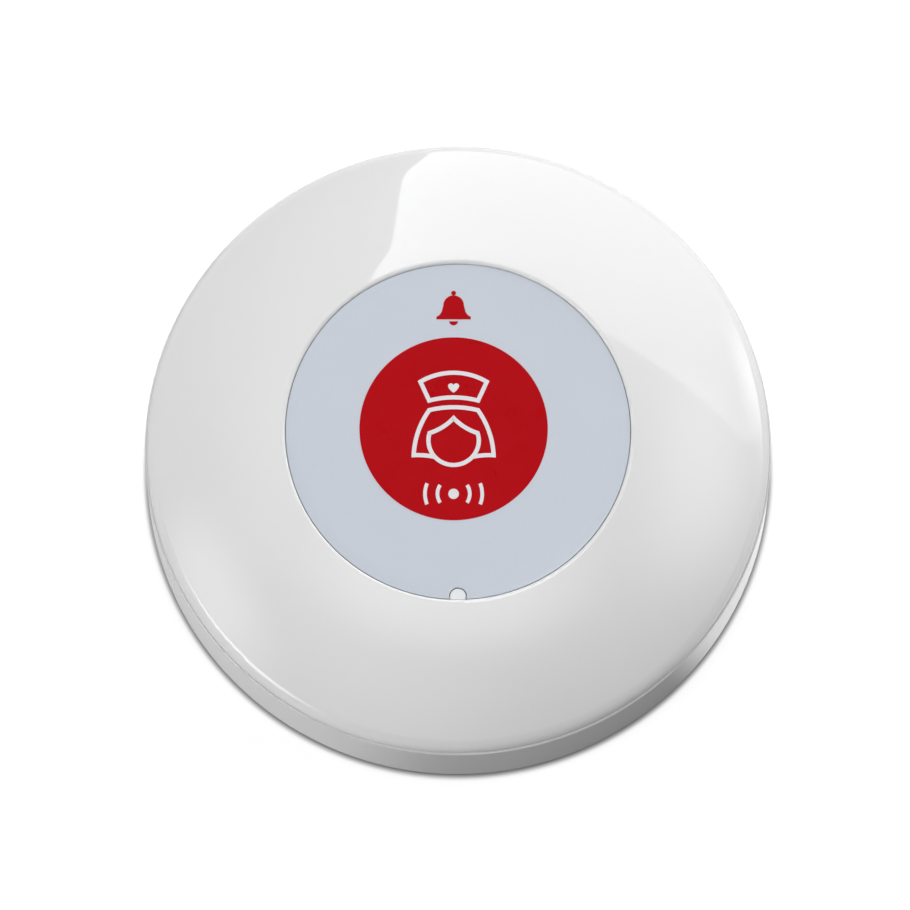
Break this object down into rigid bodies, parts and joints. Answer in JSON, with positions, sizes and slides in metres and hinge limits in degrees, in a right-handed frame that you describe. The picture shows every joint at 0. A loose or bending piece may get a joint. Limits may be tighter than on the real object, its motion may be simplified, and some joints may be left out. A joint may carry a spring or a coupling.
{
  "type": "nurse call button",
  "caption": "Round wall call button: domed white puck with a wide sprung press face over a switch and radio board, a coin-slot battery door and a twist-off wall plate.",
  "frame": {"origin": "centre of the wall plate's back face, where it lies on the wall", "axes": "+Z away from the wall along the press axis, +Y up on the wall, with the lamp at -Y"},
  "size_m": [0.086, 0.086, 0.024],
  "materials": {
    "plate_white": "satin white ABS",
    "base_white": "glossy white ABS",
    "cover_white": "glossy white ABS",
    "button_white": "white ABS under the label",
    "door_white": "satin white ABS",
    "label_silver": "printed film, silver grey with a fine sparkle",
    "seal_rubber": "silicone rubber",
    "screw_steel": "zinc plated",
    "board_green": "green solder mask",
    "cell_nickel": "nickel plated steel can",
    "holder_black": "black nylon",
    "contact_nickel": "nickel plated spring steel",
    "switch_black": "black moulding",
    "switch_steel": "pressed steel",
    "lamp_cream": "lamp body with a phosphor lens",
    "pipe_white": "milky light pipe",
    "antenna_copper": "bare copper wire",
    "chip_black": "black moulding compound",
    "crystal_nickel": "nickel plated can",
    "capacitor_tan": "ceramic",
    "resistor_black": "ceramic",
    "spring_steel": "spring wire"
  },
  "bodies": {
    "wall_plate": {"wall_plate": "plate_white"},
    "housing": {"base_shell": "base_white", "top_cover": "cover_white", "casing_seal": "seal_rubber", "casing_screws": "screw_steel", "main_board": "board_green", "board_screws": "screw_steel", "battery_cell": "cell_nickel", "battery_holder": "holder_black", "contact_negative": "contact_nickel", "contact_positive": "contact_nickel", "switch_body": "switch_black", "switch_frame": "switch_steel", "status_led": "lamp_cream", "light_pipe": "pipe_white", "antenna_coil": "antenna_copper", "controller_chip": "chip_black", "radio_chip": "chip_black", "crystal_can": "crystal_nickel", "chip_capacitors": "capacitor_tan", "chip_resistors": "resistor_black", "return_spring": "spring_steel"},
    "button": {"button_cap": "button_white", "face_label": "label_silver", "plunger_pad": "seal_rubber"},
    "stem": {"switch_stem": "switch_black"},
    "battery_door": {"battery_door": "door_white", "door_seal": "seal_rubber"}
  },
  "joints": [
    {"name": "housing_twist", "type": "hinge", "parent": "wall_plate", "child": "housing", "pos_m": [0, 0, 0], "axis": [0, 0, 1], "range_deg": [0, 30]},
    {"name": "button_press", "type": "slide", "parent": "housing", "child": "button", "axis": [0, 0, -1], "range_m": [0, 0.0007], "stiffness_N_per_m": 1200, "springref_m": -0.001, "deforming": ["return_spring"]},
    {"name": "stem_press", "type": "slide", "parent": "housing", "child": "stem", "axis": [0, 0, -1], "range_m": [0, 0.0003]},
    {"name": "door_turn", "type": "hinge", "parent": "housing", "child": "battery_door", "pos_m": [0, 0, 0], "axis": [0, 0, -1], "range_deg": [0, 45]}
  ],
  "couplings": [
    {"joint": "stem_press", "follows": "button_press", "ratio": 0.42857}
  ]
}
